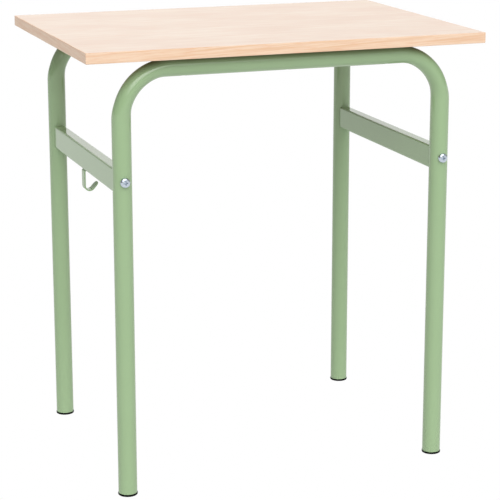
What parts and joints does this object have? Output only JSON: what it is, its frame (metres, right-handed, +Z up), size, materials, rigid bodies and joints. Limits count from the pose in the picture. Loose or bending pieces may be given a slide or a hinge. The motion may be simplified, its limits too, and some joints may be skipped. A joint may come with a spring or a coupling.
{
  "type": "school desk",
  "caption": "Free-standing school desk: a pale wood-grain board on bent round-tube arches joined by flat side rails, with a strip bag hook under the left rail and black plug-in glides.",
  "frame": {"origin": "on the floor, under the middle of the board", "axes": "+X to the sitter's right along the board's width, +Y from the sitter's side to the far side, +Z up"},
  "size_m": [0.7, 0.5, 0.76],
  "materials": {
    "laminate": "satin wood-grain laminate",
    "edge_band": "satin wood-grain edge band",
    "chipboard": "raw chipboard",
    "frame_paint": "glossy sage-green powder coat",
    "zinc": "bright zinc plate",
    "glide_plastic": "black moulded plastic"
  },
  "bodies": {
    "root": {"desktop_core": "chipboard", "top_laminate": "laminate", "underside_laminate": "laminate", "edge_band_front": "edge_band", "edge_band_rear": "edge_band", "edge_band_left": "edge_band", "edge_band_right": "edge_band", "front_arch": "frame_paint", "rear_arch": "frame_paint", "left_rail": "frame_paint", "right_rail": "frame_paint", "bag_hook": "frame_paint", "rail_end_front_left": "frame_paint", "rail_end_front_right": "frame_paint", "rail_end_rear_left": "frame_paint", "rail_end_rear_right": "frame_paint", "rail_weld_nuts": "zinc", "frame_bolts": "zinc", "top_screws": "zinc", "foot_front_left": "glide_plastic", "foot_front_right": "glide_plastic", "foot_rear_left": "glide_plastic", "foot_rear_right": "glide_plastic"}
  },
  "joints": []
}
